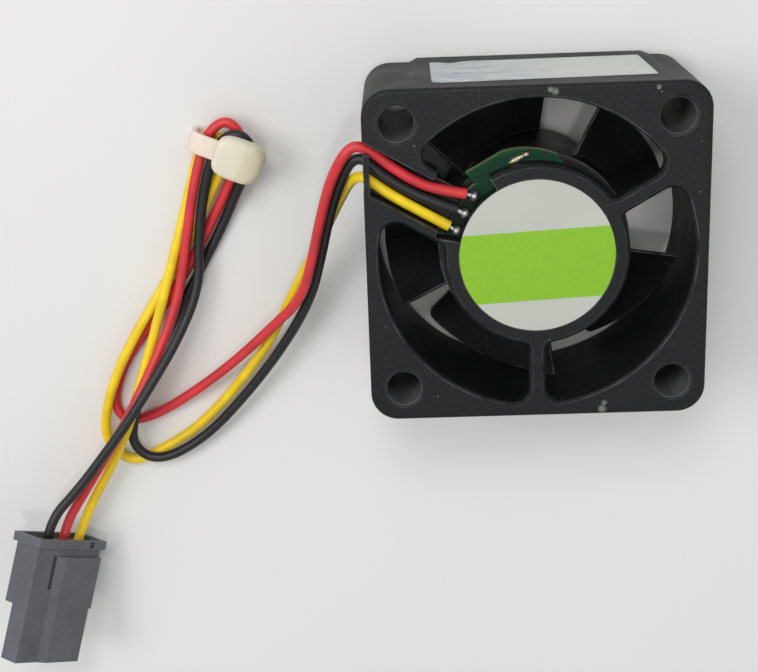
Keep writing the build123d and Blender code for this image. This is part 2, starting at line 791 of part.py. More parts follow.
def lead_routes():
    """Corner points of each lead, from its solder joint through the channel, down and to the plug."""
    black = [
        (-11.8, 6.4, 18.2), (-14.3, 7.6, 18.2), (-17.0, 9.2, 18.2), (-18.9, 10.8, 18.2),
        (-20.0, 11.9, 18.2), (-21.3, 11.6, 17.9), (-22.4, 9.7, 16.8), (-23.7, 6.3, 15.0),
        (-24.7, 2.8, 12.6), (-25.9, -2.4, 9.4), (-27.6, -8.6, 6.3), (-31.6, -15.5, 4.5),
        (-37.0, -22.5, 3.2), (-42.8, -28.7, 2.2), (-49.3, -32.2, 2.05), (-52.9, -29.8, 2.05),
        (-52.2, -25.2, 2.1), (-50.1, -20.2, 1.0), (-47.6, -15.4, 0.7), (-44.0, -9.1, 0.7),
        (-40.6, -3.5, 0.7), (-38.2, 0.4, 0.85), (-35.9, 5.2, 1.7), (-33.8, 8.8, 2.9),
        (-34.0, 12.4, 4.3), (-36.7, 13.1, 4.3), (-38.8, 10.1, 3.3), (-40.2, 5.9, 2.7),
        (-41.6, -0.9, 2.3), (-42.2, -7.8, 2.5), (-45.3, -14.3, 3.9), (-48.9, -19.7, 5.5),
        (-51.9, -24.1, 6.25), (-55.2, -28.4, 6.4), (-59.4, -33.6, 6.7),
    ]
    red = [
        (-10.4, 7.7, 18.2), (-13.4, 8.6, 18.2), (-16.5, 10.6, 18.2), (-18.5, 12.3, 18.3),
        (-19.9, 13.25, 18.6), (-21.2, 13.4, 18.7), (-22.6, 11.8, 18.5), (-24.1, 8.5, 17.1),
        (-25.5, 3.5, 14.3), (-26.8, -1.9, 10.9), (-28.6, -8.2, 7.3), (-32.8, -12.5, 5.2),
        (-37.8, -17.4, 3.6), (-43.7, -22.1, 2.1), (-49.5, -25.9, 0.8), (-53.4, -26.7, 0.7),
        (-55.2, -24.2, 0.7), (-53.3, -18.6, 0.7), (-49.3, -13.1, 0.7), (-45.3, -8.0, 0.7),
        (-42.3, -3.2, 0.7), (-39.7, 1.5, 0.85), (-37.4, 5.6, 1.5), (-35.6, 9.0, 2.2),
        (-35.1, 12.2, 2.8), (-36.8, 14.6, 3.0), (-39.1, 13.3, 3.0), (-40.5, 10.1, 2.9),
        (-41.8, 5.5, 2.75), (-43.1, -0.8, 2.5), (-44.7, -8.0, 2.4), (-47.2, -14.6, 3.1),
        (-50.1, -20.2, 4.25), (-53.0, -25.5, 4.85), (-56.6, -31.0, 5.0), (-59.6, -35.6, 5.2),
    ]
    yellow = [
        (-11.6, 4.3, 18.2), (-14.0, 5.7, 18.2), (-16.5, 7.2, 18.2), (-18.5, 8.6, 18.1),
        (-20.0, 9.7, 17.7), (-21.4, 9.0, 16.0), (-22.4, 7.2, 14.0), (-23.9, 4.0, 11.4),
        (-25.3, 0.9, 9.3), (-27.5, -3.4, 7.3), (-30.7, -9.7, 4.5), (-33.4, -15.2, 3.2),
        (-38.5, -22.0, 1.9), (-43.7, -27.6, 0.9), (-49.0, -30.9, 0.7), (-53.4, -32.8, 0.7),
        (-56.6, -29.1, 1.3), (-55.7, -23.6, 2.1), (-53.5, -18.3, 2.1), (-50.9, -13.7, 2.0),
        (-47.8, -9.1, 1.25), (-44.4, -3.6, 0.7), (-41.5, 1.3, 0.85), (-39.5, 5.6, 1.5),
        (-37.5, 8.7, 1.6), (-37.5, 11.5, 1.6), (-39.8, 12.0, 1.6), (-41.5, 9.6, 1.6),
        (-42.8, 5.5, 1.6), (-44.5, -0.9, 2.1), (-46.6, -7.9, 2.65), (-48.8, -14.7, 2.5),
        (-50.9, -20.6, 2.85), (-52.6, -26.0, 3.45), (-55.4, -31.7, 3.5), (-58.2, -36.3, 3.7),
    ]
    routes = {}
    plan = {
        "black_lead": (black_joint_inset, black_joint_angle, black),
        "red_lead": (red_joint_inset, red_joint_angle, red),
        "yellow_lead": (yellow_joint_inset, yellow_joint_angle, yellow),
    }
    for way, (name, (inset, angle, bends)) in enumerate(plan.items()):
        joint = polar(board_edge_radius - inset, angle, solder_crown)
        points = [lead_start(joint, bends[0])] + [Vector(*bend) for bend in bends]
        points += [plug_way(way, lead_approach).position, plug_way(way, -lead_depth).position]
        routes[name] = {"joint": joint, "points": points}
    return routes


def make_lead(name, points):
    """Round lead along straight runs joined by tangent arcs."""
    radii = []
    for before, corner, after in zip(points, points[1:], points[2:]):
        turn = radians((corner - before).get_angle(after - corner))
        shorter = min((corner - before).length, (after - corner).length)
        radii.append(lead_bend_share * shorter / tan(turn / 2))
    path = FilletPolyline(*points, radius=radii)
    section = Plane(origin=points[0], z_dir=points[1] - points[0]) * Circle(lead_radius)
    tube = sweep(section, path)
    print(name, "length", round(path.length, 1), "bend radii", [round(r, 1) for r in radii])
    print(name, "volume over section times length", round(tube.volume / (section.area * path.length), 4))
    return tube


def make_cable_tie():
    """Tie strap round the six strands of the fold, with its head on top and the cut tail."""
    outer_width = tie_inner_width + 2 * tie_strap_thickness
    outer_height = tie_inner_height + 2 * tie_strap_thickness
    outline = RectangleRounded(outer_width, outer_height, tie_corner + tie_strap_thickness)
    outline -= RectangleRounded(tie_inner_width, tie_inner_height, tie_corner)
    loop = extrude(Plane.XZ * outline, tie_strap_width / 2, both=True)
    head = Box(tie_head_length, tie_head_width, tie_head_height, align=centre_low)
    head = chamfer(head.edges().filter_by(Axis.Z), tie_head_corner)
    head = fillet(head.edges().group_by(Axis.Z)[-1], tie_head_edge)
    tail = Box(tie_strap_thickness, tie_strap_width, tie_head_height + tie_tail, align=centre_low)
    head_bottom = outer_height / 2 - tie_strap_thickness / 2
    tie = loop + Pos(tie_head_shift, 0, head_bottom) * (head + tail)
    return Pos(tie_x, tie_y, outer_height / 2 + tie_floor_gap) * Rot(0, 0, tie_turn) * tie


makers = (
    make_frame,
    make_hub_label,
    make_side_sticker,
    make_impeller,
    make_rotor_yoke,
    make_magnet_ring,
    make_shaft,
    make_shaft_bush,
    make_preload_washer,
    make_retaining_clip,
    make_bearing_tube,
    make_stator_laminations,
    make_upper_insulator,
    make_lower_insulator,
    make_stator_coils,
    make_winding_pins,
    make_circuit_board,
    make_hall_sensor,
    make_driver_chip,
    make_chip_capacitors,
    make_solder_joints,
    make_plug_housing,
    make_crimp_terminals,
    make_cable_tie,
)
for maker in makers:
    export_step(maker(), f"parts/{maker.__name__.removeprefix('make_')}.step")
for place, bottom in (("lower", lower_bearing_bottom), ("upper", upper_bearing_bottom)):
    for piece, shape in make_bearing(bottom).items():
        export_step(shape, f"parts/{place}_bearing_{piece}.step")
for lead_name, route in lead_routes().items():
    export_step(make_lead(lead_name, route["points"]), f"parts/{lead_name}.step")
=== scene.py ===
from math import radians

import bmesh
import bpy
import numpy as np
from bpy.props import FloatProperty, FloatVectorProperty, PointerProperty
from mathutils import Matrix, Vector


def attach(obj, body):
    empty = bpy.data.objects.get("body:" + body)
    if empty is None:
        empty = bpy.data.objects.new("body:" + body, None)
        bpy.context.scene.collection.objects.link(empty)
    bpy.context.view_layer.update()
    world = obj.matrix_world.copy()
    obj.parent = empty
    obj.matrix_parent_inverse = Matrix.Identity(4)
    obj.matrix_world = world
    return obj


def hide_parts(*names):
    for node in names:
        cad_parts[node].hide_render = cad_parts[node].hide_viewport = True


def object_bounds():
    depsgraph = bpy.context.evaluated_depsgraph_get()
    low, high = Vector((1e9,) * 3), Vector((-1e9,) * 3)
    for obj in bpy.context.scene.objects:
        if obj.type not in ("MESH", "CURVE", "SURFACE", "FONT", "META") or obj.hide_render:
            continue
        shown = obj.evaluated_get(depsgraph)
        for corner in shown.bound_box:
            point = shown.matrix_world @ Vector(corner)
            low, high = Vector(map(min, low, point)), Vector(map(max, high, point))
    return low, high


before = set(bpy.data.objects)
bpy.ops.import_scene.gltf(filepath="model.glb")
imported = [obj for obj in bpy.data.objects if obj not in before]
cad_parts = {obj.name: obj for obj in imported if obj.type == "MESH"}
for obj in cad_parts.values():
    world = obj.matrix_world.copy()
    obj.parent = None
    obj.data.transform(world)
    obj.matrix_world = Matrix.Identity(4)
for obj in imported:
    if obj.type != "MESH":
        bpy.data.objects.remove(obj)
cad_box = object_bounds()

bl_info = {
    "name": "Square cooling fan",
    "version": (1, 0, 0),
    "blender": (4, 5, 0),
    "location": "3D View > Sidebar > Fan",
    "description": "Dresses a small square fan with its leads, tie, plug, labels and finishes",
    "category": "Object",
}

MM = 0.001

# Places on the CAD solids that the pieces made here have to meet, in millimetres
HALF_SIDE = 20
PAD_HEIGHT = 18.0
PAD_PROUD = 0.5
STICKER_X = 1.1
STICKER_Z = 9.9
HOLE_OFFSET = 16
HOLE_RADIUS = 2.1
BOARD_TOP = 17.4
TIE_CENTRE = (-37.2, 10.1, 2.7)

# Turns in degrees
STICKER_TILT = 2.8
TIE_TURN = -22.0

# Control points of the leads from the board to the plug, in millimetres
RED_ROUTE = (
    (-8.083, 7.265, 18.128), (-10.4, 7.7, 18.2), (-13.4, 8.6, 18.2), (-16.5, 10.6, 18.2),
    (-18.5, 12.3, 18.3), (-19.9, 13.25, 18.6), (-21.2, 13.4, 18.7), (-22.6, 11.8, 18.5),
    (-24.1, 8.5, 17.1), (-25.5, 3.5, 14.3), (-26.8, -1.9, 10.9), (-28.6, -8.2, 7.3),
    (-32.8, -12.5, 5.2), (-37.8, -17.4, 3.6), (-43.7, -22.1, 2.1), (-49.5, -25.9, 0.8),
    (-53.4, -26.7, 0.7), (-55.2, -24.2, 0.7), (-53.3, -18.6, 0.7), (-49.3, -13.1, 0.7),
    (-45.3, -8.0, 0.7), (-42.3, -3.2, 0.7), (-39.7, 1.5, 0.85), (-37.5, 5.6, 1.4),
    (-35.8, 9.0, 2.0), (-35.4, 12.0, 2.7), (-37.0, 14.1, 3.0), (-39.2, 13.0, 3.0),
    (-40.6, 10.1, 2.9), (-42.0, 5.5, 2.75), (-43.3, -0.8, 2.5), (-44.7, -8.0, 2.4),
    (-47.2, -14.6, 3.1), (-50.1, -20.2, 4.25), (-53.0, -25.5, 4.85), (-56.6, -31.0, 5.0),
    (-59.6, -35.6, 5.2), (-62.008, -39.263, 5.546), (-62.944, -42.936, 6.821),
)
BLACK_ROUTE = (
    (-9.187, 5.382, 18.124), (-11.8, 6.4, 18.2), (-14.3, 7.6, 18.2), (-17.0, 9.2, 18.2),
    (-18.9, 10.8, 18.2), (-20.0, 11.9, 18.2), (-21.3, 11.6, 17.9), (-22.4, 9.7, 16.8),
    (-23.7, 6.3, 15.0), (-24.7, 2.8, 12.6), (-25.9, -2.4, 9.4), (-27.6, -8.6, 6.3),
    (-31.6, -15.5, 4.5), (-37.0, -22.5, 3.2), (-42.8, -28.7, 2.2), (-49.3, -32.2, 2.05),
    (-52.9, -29.8, 2.05), (-52.2, -25.2, 2.1), (-50.1, -20.2, 1.0), (-47.6, -15.4, 0.7),
    (-44.0, -9.1, 0.7), (-40.8, -3.5, 0.7), (-38.6, 0.4, 0.85), (-36.35, 5.2, 1.75),
    (-34.3, 8.8, 2.9), (-34.5, 12.0, 4.2), (-36.9, 12.6, 4.3), (-39.0, 10.1, 3.3),
    (-40.5, 5.9, 2.7), (-41.85, -0.9, 2.3), (-42.2, -7.8, 2.5), (-45.3, -14.3, 3.9),
    (-48.9, -19.7, 5.5), (-51.9, -24.1, 6.25), (-55.2, -28.4, 6.4), (-59.4, -33.6, 6.7),
    (-63.826, -37.981, 7.901), (-64.369, -41.932, 8.668),
)
YELLOW_ROUTE = (
    (-10.175, 3.47, 18.135), (-11.6, 4.3, 18.2), (-14.0, 5.7, 18.2), (-16.5, 7.2, 18.2),
    (-18.5, 8.6, 18.1), (-20.0, 9.7, 17.7), (-21.4, 9.0, 16.0), (-22.4, 7.2, 14.0),
    (-23.9, 4.0, 11.4), (-25.3, 0.9, 9.3), (-27.5, -3.4, 7.3), (-30.7, -9.7, 4.5),
    (-33.4, -15.2, 3.2), (-38.5, -22.0, 1.9), (-43.7, -27.6, 0.9), (-49.0, -30.9, 0.7),
    (-53.4, -32.8, 0.7), (-56.6, -29.1, 1.3), (-55.7, -23.6, 2.1), (-53.5, -18.3, 2.1),
    (-50.9, -13.7, 2.0), (-47.8, -9.1, 1.25), (-44.4, -3.6, 0.7), (-41.5, 1.3, 0.85),
    (-39.5, 5.6, 1.5), (-37.5, 8.7, 1.6), (-37.5, 11.5, 1.6), (-39.8, 12.0, 1.6),
    (-41.2, 9.6, 1.45), (-42.45, 5.5, 1.35), (-44.4, -0.9, 1.9), (-46.6, -7.9, 2.65),
    (-48.8, -14.7, 2.5), (-50.9, -20.6, 2.85), (-52.6, -26.0, 3.45), (-55.4, -31.7, 3.5),
    (-58.2, -36.3, 3.7), (-60.245, -40.504, 3.263), (-61.519, -43.941, 4.975),
)


def srgb(red, green, blue):
    """Linear colour of a screen colour given from 0 to 255: the inverse of the screen's curve."""
    share = np.array((red, green, blue)) / 255
    return tuple(np.where(share <= 0.04045, share / 12.92, ((share + 0.055) / 1.055) ** 2.4).tolist())


def length(name, description, default):
    """Property for a length in metres."""
    return FloatProperty(name=name, description=description, default=default, unit="LENGTH", precision=5)


def colour(name, description, default):
    """Property for a linear colour."""
    return FloatVectorProperty(name=name, description=description, default=default,
                               subtype="COLOR", size=3, min=0, max=1)


class StageSettings(bpy.types.PropertyGroup):
    """Floor, light and camera."""

    floor: colour("Floor", "Colour of the floor and of what lies behind it", srgb(232, 231, 229))
    camera_lens: FloatProperty(name="Lens", description="Focal length for a 36 mm wide sensor",
                               default=73.848, unit="CAMERA")
    camera_place: FloatVectorProperty(name="Camera place", description="Where the camera stands",
                                      default=(-0.015009, 0.049434, 0.194875), subtype="TRANSLATION")
    camera_turn: FloatVectorProperty(name="Camera turn", description="Turn of the camera about X, Y and Z",
                                     default=tuple(radians(a) for a in (-18.5691, 0.5721, -2.0021)),
                                     subtype="EULER")
    key_power: FloatProperty(name="Key light", description="Power that all the lamps are shares of",
                             default=1.0, unit="POWER")
    sky: FloatProperty(name="Sky light", description="Strength of the even light from all round",
                       default=0.46, min=0)


class LeadSettings(bpy.types.PropertyGroup):
    """Leads between the board and the plug."""

    diameter: length("Lead diameter", "Outer diameter of each lead", 1.3 * MM)
    red: colour("Red lead", "Insulation of the supply lead", srgb(214, 52, 58))
    black: colour("Black lead", "Insulation of the ground lead", srgb(28, 28, 30))
    yellow: colour("Yellow lead", "Insulation of the signal lead", srgb(248, 212, 26))


class HousingSettings(bpy.types.PropertyGroup):
    """Dark mouldings."""

    frame_black: colour("Frame", "Plastic of the frame", srgb(16, 17, 18))
    impeller_black: colour("Impeller", "Plastic of the impeller", srgb(26, 26, 28))
    plug_black: colour("Plug", "Plastic of the plug", srgb(95, 97, 102))
    soft_edge: length("Soft edge", "Radius of the softened moulded edges", 0.14 * MM)


class LabelSettings(bpy.types.PropertyGroup):
    """Round label and wall sticker."""

    paper: colour("Label paper", "Bare paper of the round label", srgb(190, 193, 183))
    band: colour("Label band", "Printed band of the round label", srgb(137, 189, 24))
    band_top: length("Band top", "Upper edge of the band above the label's middle", 3.06 * MM)
    band_bottom: length("Band bottom", "Lower edge of the band, from the label's middle", -5.38 * MM)
    band_slope: FloatProperty(name="Band slope", description="Rise of the band over its run", default=0.046)
    sticker: colour("Sticker", "Paper of the sticker on the wall", srgb(216, 219, 212))
    sticker_length: length("Sticker length", "Length of the wall sticker", 25.8 * MM)
    sticker_width: length("Sticker width", "Width of the wall sticker", 12.6 * MM)
    crinkle: length("Crinkle", "Height of the sticker's largest crease", 0.16 * MM)


class BoardSettings(bpy.types.PropertyGroup):
    """Circuit board and its solder."""

    mask: colour("Solder mask", "Lacquer of the board", srgb(4, 54, 32))
    bare_edge: colour("Board edge", "Bare laminate at the board's edge", srgb(150, 160, 112))
    joint_radius: length("Solder joint", "Radius of a lead's solder joint", 0.48 * MM)


class TieSettings(bpy.types.PropertyGroup):
    """Cable tie."""

    nylon: colour("Tie", "Nylon of the cable tie", srgb(230, 224, 204))
    strap_width: length("Strap width", "Width of the strap", 2.6 * MM)
    strap_thickness: length("Strap thickness", "Thickness of the strap", 0.8 * MM)
    head_length: length("Head length", "Length of the head along the strap", 6.3 * MM)
    head_width: length("Head width", "Width of the head across the strap", 5.3 * MM)
    head_height: length("Head height", "Height of the head", 2.2 * MM)


def grid_quads(rows, columns, around=False, closed=False):
    """Quads between neighbouring points of a grid, with the last column joined to the first when it runs
    around, and the last row joined to the first when it is closed."""
    row, column = np.meshgrid(np.arange(rows if closed else rows - 1),
                              np.arange(columns if around else columns - 1), indexing="ij")
    below = (row + 1) % rows
    beside = (column + 1) % columns
    corners = (row * columns + column, row * columns + beside, below * columns + beside, below * columns + column)
    return np.stack(corners, axis=-1).reshape(-1, 4)


def make_piece(name, shells, material, body="housing"):
    """One object from shells of grid points and quads: poles are merged, faces turned outwards and shaded smooth."""
    starts = np.cumsum([0] + [points.size // 3 for points, quads in shells])
    points = np.concatenate([points.reshape(-1, 3) for points, quads in shells])
    quads = np.concatenate([quads + start for (_, quads), start in zip(shells, starts)])
    mesh = bpy.data.meshes.new(name)
    mesh.from_pydata(points.tolist(), [], quads.tolist())
    work = bmesh.new()
    work.from_mesh(mesh)
    bmesh.ops.remove_doubles(work, verts=work.verts, dist=0.0001 * MM)
    bmesh.ops.recalc_face_normals(work, faces=work.faces)
    work.to_mesh(mesh)
    work.free()
    mesh.shade_smooth()
    mesh.materials.append(material)
    piece = bpy.data.objects.new(name, mesh)
    bpy.context.scene.collection.objects.link(piece)
    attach(piece, body)
    return piece


def dress(material, *nodes):
    """Put a material on every slot of some nodes."""
    for node in nodes:
        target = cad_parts[node]
        if not target.data.materials:
            target.data.materials.append(material)
        for index in range(len(target.material_slots)):
            target.material_slots[index].link = "OBJECT"
            target.material_slots[index].material = material


class Finish:
    """Node material on Object coordinates that is built up step by step."""

    def __init__(self, name, **sockets):
        self.material = bpy.data.materials.new(name)
        self.material.use_nodes = True
        self.tree = self.material.node_tree
        self.tree.nodes.clear()
        self.output = self.add("OutputMaterial")
        self.shader = self.add("BsdfPrincipled", **sockets)
        self.tree.links.new(self.shader.outputs[0], self.output.inputs[0])
        self.object = self.add("TexCoord").outputs["Object"]

    def add(self, kind, settings=None, **sockets):
        """New node; socket values are given with underscores for the spaces in their names."""
        node = self.tree.nodes.new("ShaderNode" + kind)
        for key, value in (settings or {}).items():
            setattr(node, key, value)
        for key, value in sockets.items():
            self.feed(node.inputs[key.replace("_", " ")], value)
        return node

    def feed(self, socket, value):
        """Link a socket to an output, or set its value."""
        if isinstance(value, bpy.types.NodeSocket):
            self.tree.links.new(value, socket)
        elif hasattr(value, "__len__") and len(value) == 3 and len(socket.default_value) == 4:
            socket.default_value = (*value, 1)
        else:
            socket.default_value = value

    def set(self, **sockets):
        """Feed sockets of the shader."""
        for key, value in sockets.items():
            self.feed(self.shader.inputs[key.replace("_", " ")], value)

    def math(self, operation, *values):
        """Result of a calculation on one to three values."""
        node = self.add("Math", {"operation": operation})
        for socket, value in zip(node.inputs, values):
            self.feed(socket, value)
        return node.outputs[0]

    def span(self, value, low, high, first=0.0, last=1.0):
        """Value carried from one range to another and kept inside it."""
        node = self.add("MapRange", From_Min=low, From_Max=high, To_Min=first, To_Max=last)
        self.feed(node.inputs["Value"], value)
        return node.outputs["Result"]

    def mix(self, share, first, last):
        """Colour between two colours."""
        node = self.add("Mix", {"data_type": "RGBA"})
        self.feed(node.inputs[0], share)
        self.feed(node.inputs[6], first)
        self.feed(node.inputs[7], last)
        return node.outputs[2]

    def place(self, stretch=(1, 1, 1), turn=(0, 0, 0)):
        """Object coordinates, stretched and turned."""
        return self.add("Mapping", Vector=self.object, Scale=stretch, Rotation=turn).outputs[0]

    def noise(self, scale, detail=2.0, roughness=0.5, at=None):
        """Cloudy noise with features of about one over the scale, in metres."""
        node = self.add("TexNoise", Vector=at or self.object, Scale=scale, Detail=detail, Roughness=roughness)
        return node.outputs[0]

    def cells(self, scale):
        """Distance to the nearest seed point, and a random grey for its cell."""
        node = self.add("TexVoronoi", Vector=self.object, Scale=scale)
        grey = self.add("SeparateColor", Color=node.outputs["Color"])
        return node.outputs["Distance"], grey.outputs[0]

    def specks(self, scale, size, share):
        """Small scattered dots: seed points of cells, kept in a share of the cells."""
        distance, grey = self.cells(scale)
        dot = self.span(distance, size, 0.5 * size)
        return self.math("MULTIPLY", dot, self.math("LESS_THAN", grey, share))

    def axes(self, source=None):
        """The three parts of the object coordinates."""
        return self.add("SeparateXYZ", Vector=source or self.object).outputs

    def facing(self):
        """The three parts of the surface's own normal."""
        return self.axes(self.add("NewGeometry").outputs["Normal"])

    def spot(self, centre, radius):
        """One inside a ball and zero outside, with a soft rim."""
        gap = self.add("VectorMath", {"operation": "DISTANCE"})
        self.feed(gap.inputs[0], self.object)
        self.feed(gap.inputs[1], centre)
        return self.span(gap.outputs["Value"], radius, 0.4 * radius)

    def round_edges(self, radius):
        """Normal that is softened at the edges."""
        return self.add("Bevel", {"samples": 6}, Radius=radius).outputs[0]

    def edge_mask(self, radius, low=0.02, high=0.25):
        """One along sharp edges: how far a softened normal turns away from the true one."""
        turn = self.add("VectorMath", {"operation": "DOT_PRODUCT"})
        self.feed(turn.inputs[0], self.round_edges(radius))
        self.feed(turn.inputs[1], self.add("NewGeometry").outputs["Normal"])
        return self.span(self.math("SUBTRACT", 1.0, turn.outputs["Value"]), low, high)

    def bump(self, height, distance, normal=None):
        """Normal of a surface raised by a height map."""
        node = self.add("Bump", Height=height, Distance=distance, Strength=1.0)
        if normal is not None:
            self.feed(node.inputs["Normal"], normal)
        return node.outputs[0]


def moulded_black(name, base, edge, rough, grain, dust, scuffs=(), bores=None):
    """Dark moulded plastic: spark-eroded grain, cloudy shine, edges paler from rubbed wear and a painted highlight,
    dust and small scuffs. Bores at one distance from both middle planes have smooth walls, painted paler as painted
    light."""
    finish = Finish(name, Specular_IOR_Level=0.3)
    fine = finish.noise(4200, 3, 0.65)
    cloud = finish.noise(170, 4, 0.6)
    normal = finish.round_edges(edge)
    finish.set(Normal=finish.bump(fine, grain, normal))
    tone = finish.mix(finish.span(cloud, 0.35, 0.7), [0.86 * c for c in base], [1.18 * c for c in base])
    tone = finish.mix(finish.span(fine, 0.52, 0.7, 0, 0.7), tone, [c + 0.03 for c in base])
    # Paler edges: partly rubbed wear, partly a painted highlight along the edges.
    rubbed_and_highlit_edges = finish.math("MULTIPLY", finish.edge_mask(2.2 * edge), finish.span(finish.noise(420, 3), 0.34, 0.62))
    tone = finish.mix(finish.math("MULTIPLY", rubbed_and_highlit_edges, 0.8), tone, srgb(130, 130, 130))
    upward = finish.span(finish.facing()[2], 0.3, 0.9, 0.25, 1)
    lint = finish.math("MULTIPLY", finish.specks(1500, 0.16, dust), upward)
    tone = finish.mix(finish.math("MULTIPLY", lint, 0.7), tone, srgb(150, 148, 144))
    for centre, radius in scuffs:
        mark = finish.math("MULTIPLY", finish.spot(centre, radius), finish.span(fine, 0.3, 0.7, 0.15, 0.9))
        tone = finish.mix(mark, tone, srgb(150, 149, 145))
    shine = finish.span(cloud, 0.3, 0.75, rough - 0.06, rough + 0.1)
    if bores:
        axes = finish.axes()
        beside = [finish.math("SUBTRACT", finish.math("ABSOLUTE", axes[i]), bores[0]) for i in (0, 1)]
        reach = finish.math("SQRT", finish.math("ADD", *(finish.math("MULTIPLY", b, b) for b in beside)))
        # Screw-hole walls painted paler and streaked along the bore: painted light for the light and reflection in the
        # holes.
        wall = finish.span(reach, 1.06 * bores[1], 1.01 * bores[1])
        smear_and_painted_light = finish.noise(1, 3, 0.6, finish.place(stretch=(900, 900, 160)))
        tone = finish.mix(wall, tone, finish.mix(smear_and_painted_light, srgb(64, 64, 66), srgb(120, 120, 120)))
        shine = finish.math("MULTIPLY", shine, finish.span(wall, 0, 1, 1, 0.6))
    finish.set(Base_Color=tone, Roughness=shine)
    return finish.material


def turned_metal(name, base, rough, lathe=9000.0):
    """Bare turned metal: fine rings along the axis, cloudy tarnish."""
    finish = Finish(name, Metallic=1.0)
    cloud = finish.noise(500, 3)
    rings = finish.noise(1, 2, 0.6, finish.place(stretch=(300, 300, lathe)))
    finish.set(Base_Color=finish.mix(finish.span(cloud, 0.35, 0.7), [0.78 * c for c in base], base),
               Roughness=finish.span(rings, 0.3, 0.7, rough - 0.06, rough + 0.1),
               Normal=finish.bump(rings, 0.002 * MM, finish.round_edges(0.06 * MM)))
    return finish.material


def insulation(name, base, sheen):
    """Soft extruded plastic of a lead: slight unevenness, faint scrapes, satin shine."""
    finish = Finish(name, Specular_IOR_Level=0.5, Subsurface_Weight=0.06, Subsurface_Scale=0.6 * MM)
    cloud = finish.noise(330, 3)
    fine = finish.noise(2600, 3, 0.6)
    scrape = finish.span(finish.noise(1, 3, 0.7, finish.place(stretch=(420, 2400, 2400))), 0.62, 0.78)
    tone = finish.mix(finish.span(cloud, 0.3, 0.7), [0.82 * c for c in base], [min(1, 1.1 * c) for c in base])
    tone = finish.mix(finish.math("MULTIPLY", scrape, 0.18), tone, [min(1, 0.12 + 1.2 * c) for c in base])
    finish.set(Base_Color=tone, Roughness=finish.span(fine, 0.3, 0.75, sheen - 0.07, sheen + 0.12),
               Normal=finish.bump(fine, 0.006 * MM))
    return finish.material


class FAN_OT_stage(bpy.types.Operator):
    """Make the floor, the soft light and the camera"""

    bl_idname = "fan.stage"
    bl_label = "Stage"

    def execute(self, context):
        """Floor square that turns evenly pale far from the fan, even sky, a soft key lamp at the left, smaller
        ones behind and overhead, a weak fill and the camera."""
        settings = context.scene.fan_stage
        context.scene.view_settings.view_transform = "Standard"
        world = bpy.data.worlds.new("soft_sky")
        context.scene.world = world
        world.use_nodes = True
        tree = world.node_tree
        tree.nodes.clear()
        output = tree.nodes.new("ShaderNodeOutputWorld")
        light = tree.nodes.new("ShaderNodeBackground")
        light.inputs["Color"].default_value = (0.96, 0.98, 1.0, 1)
        light.inputs["Strength"].default_value = settings.sky
        seen = tree.nodes.new("ShaderNodeBackground")
        seen.inputs["Color"].default_value = (*settings.floor, 1)
        path = tree.nodes.new("ShaderNodeLightPath")
        either = tree.nodes.new("ShaderNodeMath")
        either.operation = "MAXIMUM"
        tree.links.new(path.outputs["Is Camera Ray"], either.inputs[0])
        tree.links.new(path.outputs["Is Transmission Ray"], either.inputs[1])
        mix = tree.nodes.new("ShaderNodeMixShader")
        tree.links.new(either.outputs[0], mix.inputs[0])
        tree.links.new(light.outputs[0], mix.inputs[1])
        tree.links.new(seen.outputs[0], mix.inputs[2])
        tree.links.new(mix.outputs[0], output.inputs[0])

        finish = Finish("floor_cloth", Roughness=0.9, Specular_IOR_Level=0.15)
        cloud = finish.noise(14, 3)
        weave = finish.noise(1400, 2)
        tone = finish.mix(finish.span(cloud, 0.3, 0.7), [0.97 * c for c in settings.floor], settings.floor)
        finish.set(Base_Color=tone, Normal=finish.bump(weave, 0.02 * MM))
        away = finish.add("VectorMath", {"operation": "LENGTH"}, Vector=finish.object)
        far = finish.span(away.outputs["Value"], 0.16, 0.45)
        shown = finish.math("MULTIPLY", far, finish.add("LightPath").outputs["Is Camera Ray"])
        pale = finish.add("Emission", Color=settings.floor)
        blend = finish.add("MixShader", Fac=shown)
        finish.tree.links.new(finish.shader.outputs[0], blend.inputs[1])
        finish.tree.links.new(pale.outputs[0], blend.inputs[2])
        finish.tree.links.new(blend.outputs[0], finish.output.inputs[0])
        half = 0.8
        rows = 9
        low = cad_box[0][2] - 0.05 * MM
        side = np.linspace(-half, half, rows)
        x, y = np.meshgrid(side, side, indexing="xy")
        mesh = bpy.data.meshes.new("floor")
        points = np.stack((x, y, np.full_like(x, low)), axis=-1).reshape(-1, 3)
        mesh.from_pydata(points.tolist(), [], grid_quads(rows, rows).tolist())
        mesh.materials.append(finish.material)
        floor = bpy.data.objects.new("floor", mesh)
        context.scene.collection.objects.link(floor)

        for name, place, turn, size, power in (
            ("key_lamp", (-0.42, 0.14, 0.59), (-13, -35, 0), 0.36, 1.6 * settings.key_power),
            ("head_lamp", (-0.06, 0.24, 0.38), (-32, -8, 0), 0.16, 0.5 * settings.key_power),
            ("top_lamp", (-0.016, 0.012, 0.46), (0, 0, 0), 0.03, 0.2 * settings.key_power),
            ("fill_lamp", (0.42, -0.12, 0.40), (14, 44, 0), 0.40, 0.22 * settings.key_power),
        ):
            lamp = bpy.data.lights.new(name, "AREA")
            lamp.shape = "DISK"
            lamp.size = size
            lamp.energy = power
            holder = bpy.data.objects.new(name, lamp)
            holder.location = place
            holder.rotation_euler = [radians(angle) for angle in turn]
            context.scene.collection.objects.link(holder)

        camera = bpy.data.cameras.new("camera")
        camera.sensor_fit = "HORIZONTAL"
        camera.sensor_width = 36
        camera.lens = settings.camera_lens
        camera.clip_start = 0.01
        holder = bpy.data.objects.new("camera", camera)
        holder.location = settings.camera_place
        holder.rotation_euler = settings.camera_turn
        context.scene.collection.objects.link(holder)
        context.scene.camera = holder
        return {"FINISHED"}


